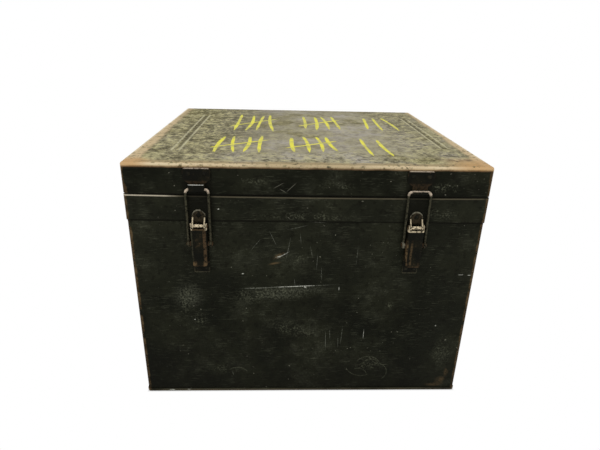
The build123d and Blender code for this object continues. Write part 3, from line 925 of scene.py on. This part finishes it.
hookLow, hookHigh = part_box("latch_hook_right")
hookWearAndLight = {
    "topEdge": (-1.3, -0.4),
    "sideEdge": (-1.0, -0.2),
    "sideUp": (-10, -2),
    "lipDepth": 3.2,
    "lipDown": 12,
    "neck": (-18, 2.5, 2),
    "neckDepth": 4.0,
}


def hookRubsAndLight(place):
    wear = hookWearAndLight
    halfWidth = (hookHigh.x - hookLow.x) / 2
    # painted highlight along the plate's top edge
    top = fade(place.z, wear["topEdge"], hookHigh.z)
    sides = both(fade(place.off, wear["sideEdge"], halfWidth), fade(place.z, wear["sideUp"], hookHigh.z))
    # painted highlight on the lip's upward faces
    lip = both(less(place.y, hookLow.y + wear["lipDepth"] * mm),
               less(place.z, hookHigh.z - wear["lipDown"] * mm), ease(place.up, 0.08, 0.4))
    neck = both(near(place.z, *wear["neck"], hookHigh.z), more(place.y, hookLow.y + wear["neckDepth"] * mm))
    return [(neck, "rust", 0.3), (top, "pink", 0.8), (sides, "rust", 0.2),
            (both(lip, place.onLeft), "white", 0.95), (both(lip, place.onRight), "pink", 0.8)]


# each lever is rubbed differently down its sides
leverLow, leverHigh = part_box("latch_lever_right")
pinZ = (leverPinLow.z + leverPinHigh.z) / 2
leverWear = {
    "upright": ((3, 8), (46, 40)),
    "oliveEdge": (2.6, 1.2),
    "brownLine": (-3.2, 1.2, 1),
    "goldEdge": (2.6, 1.4),
    "goldLine": (6, 0.7, 1),
    "goldLineShare": 0.6,
    "goldUpright": ((0, 4), (36, 24)),
    "corner": (-6.5, -4.0),
    "cornerUp": (6.5, 2.5),
    "foot": (1.6, 0.4),
    "webTop": (-3.2, 0.9, 0.7),
    "postFoot": 4.2,
    "post": (-2.6, -2.0),
}


def leverRubs(place):
    wear = leverWear
    halfWidth = (leverHigh.x - leverLow.x) / 2
    across = place.toRight
    fromFoot = minus(place.z, leverLow.z)
    upright = both(*[fade(fromFoot, span) for span in wear["upright"]])
    olive = both(fade(across, wear["oliveEdge"], -halfWidth), upright, place.onLeft)
    brown = both(near(across, *wear["brownLine"], halfWidth), upright, place.onLeft)
    goldLine = both(near(across, *wear["goldLine"], -halfWidth), wear["goldLineShare"])
    gold = both(either(fade(across, wear["goldEdge"], -halfWidth), goldLine),
                *[fade(fromFoot, span) for span in wear["goldUpright"]], place.onRight)
    corners = both(fade(place.off, wear["corner"], halfWidth), fade(fromFoot, wear["cornerUp"]))
    foot = fade(fromFoot, wear["foot"])
    webTop = near(place.z, *wear["webTop"], pinZ)
    posts = both(more(place.z, pinZ - wear["postFoot"] * mm), less(place.front, -0.15),
                 fade(place.off, wear["post"], halfWidth))
    return [(olive, "olive", 0.5), (brown, "rust", 0.75), (gold, "rustLight", 0.5),
            (both(corners, place.onLeft), "rustLight", 0.55), (corners, "rust", 0.35), (foot, "rust", 0.3),
            (both(webTop, place.onLeft), "rustLight", 0.3),
            (both(webTop, place.onRight), "cream", 0.7), (posts, "cream", 0.7)]


baseWear = {
    "foot": (1.5, 0.4),
    "corner": (-1.8, -0.8),
    "cornerUp": (12, 2),
    "tongueFoot": 2,
    "tongueHalf": 7.3,
    "earDepth": 1.9,
    "earFoot": 4,
    "ear": (-2.2, -1.6),
    "arch": (1.7, 0.7),
    "archDown": 9,
}


def baseRubs(place):
    wear = baseWear
    halfWidth = (baseHigh.x - baseLow.x) / 2
    tongueHalf = wear["tongueHalf"] * mm
    foot = fade(place.z, wear["foot"], baseLow.z)
    corners = both(fade(place.off, wear["corner"], halfWidth), fade(place.z, wear["cornerUp"], baseLow.z))
    tongue = more(place.z, pinZ + wear["tongueFoot"] * mm)
    ears = both(less(place.y, bandLow.y - wear["earDepth"] * mm),
                ease(place.front, 0.1, -0.25), more(place.z, pinZ - wear["earFoot"] * mm),
                fade(place.off, wear["ear"], tongueHalf))
    # the tongue's rounded top
    fromTop = minus(baseHigh.z, place.z)
    chord = minus(tongueHalf ** 2, calc("POWER", place.off, 2.0))
    drop = minus(tongueHalf, calc("SQRT", either(0.0, chord)))
    arch = both(fade(minus(fromTop, drop), wear["arch"]), less(fromTop, wear["archDown"] * mm))
    return [(foot, "olive", 0.85), (corners, "olive", 0.4), (tongue, "umber", 0.6), (arch, "grey", 0.7),
            (ears, "cream", 0.75)]


bailLow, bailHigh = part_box("latch_bail_right")
bailWearAndLight = {
    "bar": (-6.5, -3.5),
    "eyes": (9, 7),
}


def bailRubsAndLight(place):
    bar = fade(place.z, bailWearAndLight["bar"], bailHigh.z)
    eyes = fade(place.z, bailWearAndLight["eyes"], bailLow.z)
    legs = ease(place.front, -0.3, -0.85)
    # painted highlight on the left eye of the right latch
    ring = both(eyes, place.onRight, less(place.toRight, 0.0))
    return [(legs, "olive", 0.6), (eyes, "umber", 0.4), (ring, "grey", 0.45), (bar, "pink", 0.95)]


pinWear = {"shankEnd": 8.4, "headStart": 9.0}


def pinRubs(place):
    heads = fade(place.off, (pinWear["shankEnd"], pinWear["headStart"]))
    shank = fade(place.off, (pinWear["headStart"], pinWear["shankEnd"]))
    return [(shank, "cream", 0.98), (heads, "rust", 0.6)]


def edgeRubs(place):
    facing = either(size(place.side), size(place.up))
    return [(ease(facing, 0.6, 0.95), "rust", 0.35)]


gripWear = {"below": (172, 166), "along": (0, 30, 14)}


def gripRubs(place):
    grip = both(fade(place.z, gripWear["below"]), near(place.y, *gripWear["along"]))
    return [(grip, "steel", 0.45)]


pinSteel = makeIron("pinSteel", 113.0, pinRubs, 0.04)
hingeIron = makeIron("hingeIron", 116.0, edgeRubs, 0.02)
fittingFinish = {
    "latch_hook": makeIron("hookIron", 101.0, hookRubsAndLight),
    "latch_lever": makeIron("leverIron", 104.0, leverRubs),
    "latch_base": makeIron("baseIron", 107.0, baseRubs),
    "latch_bail": makeIron("bailSteel", 110.0, bailRubsAndLight),
    "lever_pin": pinSteel,
    "bail_pin": pinSteel,
    "hinge_pin": pinSteel,
    "hinge_body_leaf": hingeIron,
    "hinge_lid_leaf": hingeIron,
    "handle": makeIron("handleIron", 119.0, gripRubs, 0.02),
    "handle_straps": makeIron("strapIron", 122.0, edgeRubs, 0.02),
}
for stem, material in fittingFinish.items():
    for side in ("left", "right"):
        paintPiece(nodes[stem + "_" + side], material)


rivetLook = {
    "seed": 131.0,
    "crownShare": 0.2,
    "roughness": 0.5,
    "bump": 0.3,
    "bumpDepth": 0.15,
}


def makeRivetPaint():
    look = rivetLook
    startFinish("rivetBlack")
    place = ironPlaces()
    colour, broad, fine = ironCoat(place, look["seed"])
    out = either(size(place.front), size(place.side))
    crown = both(ease(out, 0.82, 0.98), ease(broad, 0.4, 0.6))
    colour = wearAndLight(colour, crown, fine, "olive", look["crownShare"])
    return finish(colour, look["roughness"], ironLook["gloss"], fine, look["bump"], look["bumpDepth"])


rivetBlack = makeRivetPaint()
for stem in ("seam", "hinge_body", "hinge_lid", "latch_base", "latch_hook", "handle"):
    paintPiece(nodes[stem + "_rivets"], rivetBlack)
print("fittings finished")


# counting strokes brushed on the lid in yellow paint; sizes in mm

strokePaint = {
    "yellow": (226, 218, 70),
    "thick": (242, 234, 40),
    "thin": (178, 172, 92),
    "thinShare": 0.8,
    "roughness": 0.5,
    "gloss": 0.22,
    "bump": 0.3,
    "bumpDepth": 0.2,
    # turn, length, width, amount and seed of the bristles' traces
    "bristles": (90, 40, 0.9, 0.28, 4.0),
    "patches": (45.0, 3.0, 0.6, 6.0),
    "fine": (300.0, 2.0, 0.6, 8.0),
}

strokeShape = {
    "width": 4.7,
    "slashWidth": 0.9,
    "thickness": 0.05,
    "slashThickness": 1.4,
    "clearance": 0.03,
    "stepLength": 3,
    "fewestSteps": 8,
    "lanes": 6,
    "slashOverhang": 9,
    "slashRise": 0.27,
    # share of the width at each end, and how fast the stroke fills out
    "startTaper": (0.55, 3.5),
    "endTaper": (0.35, 4.0),
    # how far chance may move or change each of these
    "bow": 0.03,
    "raggedStart": 2.5,
    "raggedEnd": 4.0,
    "raggedSide": 0.25,
    "drift": 1.5,
    "lean": 4,
    "endDrift": 6,
    "widthSpread": (0.85, 1.1),
    # middle, size and number of strokes of each group
    "groups": [
        ((-73.5, 60), (52, 124), 4),
        ((29, 64), (50, 108), 4),
        ((122, 66), (37, 101), 3),
        ((-83, -91), (52, 87), 4),
        ((8, -91), (50, 81), 4),
        ((87, -99), (23, 93), 2),
    ],
    "fullGroup": 4,
    "seed": 11,
}


def makeStrokePaint():
    look = strokePaint
    startFinish("yellowPaint")
    spot = newNode("TexCoord").outputs["Object"]
    bristles = streaks(spot, *look["bristles"])
    patches = cloud(spot, *look["patches"])
    fine = cloud(spot, *look["fine"])
    colour = layer(look["yellow"], look["thick"], ease(patches, 0.4, 0.6))
    bare = both(bristles, ease(patches, 0.56, 0.40))
    colour = layer(colour, look["thin"], bare, look["thinShare"])
    height = timesPlus(bristles, 0.5, fine)
    return finish(colour, look["roughness"], look["gloss"], height, look["bump"], look["bumpDepth"])


def chance(dice, kind):
    return dice.uniform(-strokeShape[kind], strokeShape[kind])


def strokeMesh(mesh, start, end, width, rise, dice):
    # one brush stroke as a low ribbon with ragged ends, from start to end
    shape = strokeShape
    startShare, startRate = shape["startTaper"]
    endShare, endRate = shape["endTaper"]
    line = end - start
    length = line.length
    along = line.normalized()
    across = Vector((-along.y, along.x))
    steps = max(shape["fewestSteps"], int(length / shape["stepLength"]))
    lanes = shape["lanes"]
    bow = chance(dice, "bow") * length
    raggedStart = [chance(dice, "raggedStart") for lane in range(lanes + 1)]
    raggedEnd = [chance(dice, "raggedEnd") for lane in range(lanes + 1)]
    base = lidHigh.z / mm + shape["clearance"]
    grid = []
    for step in range(steps + 1):
        part = step / steps
        taper = min(1.0, startShare + startRate * part, endShare + endRate * (1 - part))
        half = width / 2 * taper * (1 + 0.08 * math.sin(part * 9 + bow))
        row = []
        for lane in range(lanes + 1):
            offset = lane / lanes * 2 - 1
            atSide = abs(offset) == 1
            reach = part * length
            if step == 0:
                reach += raggedStart[lane]
            elif step == steps:
                reach += raggedEnd[lane]
            edge = chance(dice, "raggedSide") if atSide else 0
            spot = start + along * reach + across * (offset * half + edge + bow * math.sin(part * math.pi))
            # paint is thickest in the middle and runs out at the rim
            lift = rise * (1 - abs(offset) ** 3) * (0.7 + 0.3 * math.sin(offset * 7 + 1))
            if step in (0, steps) or atSide:
                lift = 0.0
            row.append(mesh.verts.new((spot.x * mm, spot.y * mm, (base + lift) * mm)))
        grid.append(row)
    for lower, upper in zip(grid, grid[1:]):
        for lane in range(lanes):
            mesh.faces.new((lower[lane], lower[lane + 1], upper[lane + 1], upper[lane]))


def strokeGroup(mesh, group, dice):
    # upright strokes side by side, and a slash across a full group
    shape = strokeShape
    (middleX, middleY), (width, height), count = group
    gap = width / (count - 1)
    for stroke in range(count):
        x = middleX - width / 2 + gap * stroke + chance(dice, "drift")
        lean = chance(dice, "lean")
        top = Vector((x + lean, middleY + height / 2 + chance(dice, "endDrift")))
        foot = Vector((x - lean, middleY - height / 2 + chance(dice, "endDrift")))
        broad = shape["width"] * dice.uniform(*shape["widthSpread"])
        strokeMesh(mesh, top, foot, broad, shape["thickness"], dice)
    if count == shape["fullGroup"]:
        out = Vector((width / 2 + shape["slashOverhang"], height * shape["slashRise"]))
        middle = Vector((middleX, middleY))
        strokeMesh(mesh, middle - out, middle + out, shape["width"] * shape["slashWidth"],
                   shape["thickness"] * shape["slashThickness"], dice)


def addPiece(name, mesh, material):
    data = bpy.data.meshes.new(name)
    mesh.to_mesh(data)
    mesh.free()
    data.materials.append(material)
    piece = bpy.data.objects.new(name, data)
    bpy.context.scene.collection.objects.link(piece)
    return piece


def paintStrokes():
    dice = random.Random(strokeShape["seed"])
    yellow = makeStrokePaint()
    for number, group in enumerate(strokeShape["groups"], 1):
        mesh = bmesh.new()
        strokeGroup(mesh, group, dice)
        piece = addPiece("counting_strokes_" + str(number), mesh, yellow)
        for face in piece.data.polygons:
            face.use_smooth = True
        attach(piece, "lid")


paintStrokes()
print("counting strokes painted")


# smooth shading across the bends of the carried-over pieces

for piece in nodes.values():
    for face in piece.data.polygons:
        face.use_smooth = True


# floor, light and camera

studio = {
    "floor": (236, 236, 234),
    "floorRoughness": 0.9,
    "floorGloss": 0.1,
    "floorSize": 6.0,
    "floorDrop": 0.2,
    "shadowSpan": (-2, 2.5),
    "skyStrength": 0.59,
    # place, size and power of each lamp, in metres and watts
    "keyLamp": ((-0.7, -1.1, 1.5), 1.4, 9.0),
    "fillLamp": ((1.2, -0.7, 0.9), 1.2, 3.0),
    "lampTarget": (0, 0, 0.15),
    # the camera's lens and place in mm, and its turns in degrees
    "lens": 27.704,
    "sensor": 36.0,
    "cameraPlace": (-30.33, -675.68, 441.1),
    "yaw": 2.475,
    "pitch": 22.544,
    "roll": 1.503,
}


def seenDirectly():
    # 1 for what the camera sees, also in a reflection or through glass
    rays = newNode("LightPath").outputs
    return either(rays["Is Camera Ray"], rays["Is Glossy Ray"], rays["Is Transmission Ray"])


def makeFloor():
    # pale paper that shows as plain white a short way from the box
    startFinish("floorPaper")
    x, y = split(newNode("TexCoord").outputs["Object"])[:2]
    away = either(minus(size(x), bodyHigh.x), minus(size(y), bodyHigh.y))
    shader = making["tree"].nodes["Principled BSDF"]
    plug(rgb(*studio["floor"]), shader.inputs["Base Color"])
    plug(studio["floorRoughness"], shader.inputs["Roughness"])
    plug(studio["floorGloss"], shader.inputs["Specular IOR Level"])
    white = newNode("Emission")
    mixer = newNode("MixShader")
    far = both(fade(away, studio["shadowSpan"]), seenDirectly())
    link(far, mixer.inputs[0])
    link(shader.outputs[0], mixer.inputs[1])
    link(white.outputs[0], mixer.inputs[2])
    link(mixer.outputs[0], making["tree"].nodes["Material Output"].inputs["Surface"])
    mesh = bmesh.new()
    bmesh.ops.create_grid(mesh, x_segments=1, y_segments=1, size=studio["floorSize"])
    floor = addPiece("floor", mesh, making["material"])
    floor.location.z = -studio["floorDrop"] * mm


def makeSky():
    world = bpy.data.worlds.new("studio")
    bpy.context.scene.world = world
    world.use_nodes = True
    making["tree"] = world.node_tree
    backdrop = world.node_tree.nodes["Background"]
    plug((1, 1, 1, 1), backdrop.inputs["Color"])
    strength = blendValue(seenDirectly(), studio["skyStrength"], 1.0)
    link(strength, backdrop.inputs["Strength"])


def addLamp(name):
    place, width, power = studio[name]
    lamp = bpy.data.lights.new(name, "AREA")
    lamp.shape = "RECTANGLE"
    lamp.size = width
    lamp.size_y = width
    lamp.energy = power
    stand = bpy.data.objects.new(name, lamp)
    bpy.context.scene.collection.objects.link(stand)
    stand.location = place
    toward = Vector(studio["lampTarget"]) - Vector(place)
    stand.rotation_euler = toward.to_track_quat("-Z", "Y").to_euler()


def makeCamera():
    camera = bpy.data.cameras.new("camera")
    camera.lens = studio["lens"]
    camera.sensor_width = studio["sensor"]
    camera.clip_start = 0.01
    stand = bpy.data.objects.new("camera", camera)
    bpy.context.scene.collection.objects.link(stand)
    yaw, pitch, roll = (math.radians(studio[turn]) for turn in ("yaw", "pitch", "roll"))
    forward = Vector((math.sin(yaw) * math.cos(pitch), math.cos(yaw) * math.cos(pitch), -math.sin(pitch)))
    level = Vector((math.cos(yaw), -math.sin(yaw), 0))
    upright = level.cross(forward)
    right = level * math.cos(roll) + upright * math.sin(roll)
    up = upright * math.cos(roll) - level * math.sin(roll)
    turned = Matrix((right, up, -forward)).transposed()
    stand.matrix_world = Matrix.Translation(Vector(studio["cameraPlace"]) * mm) @ turned.to_4x4()
    bpy.context.scene.camera = stand


makeFloor()
makeSky()
addLamp("keyLamp")
addLamp("fillLamp")
makeCamera()
bpy.context.scene.view_settings.view_transform = "Standard"
print("studio set")
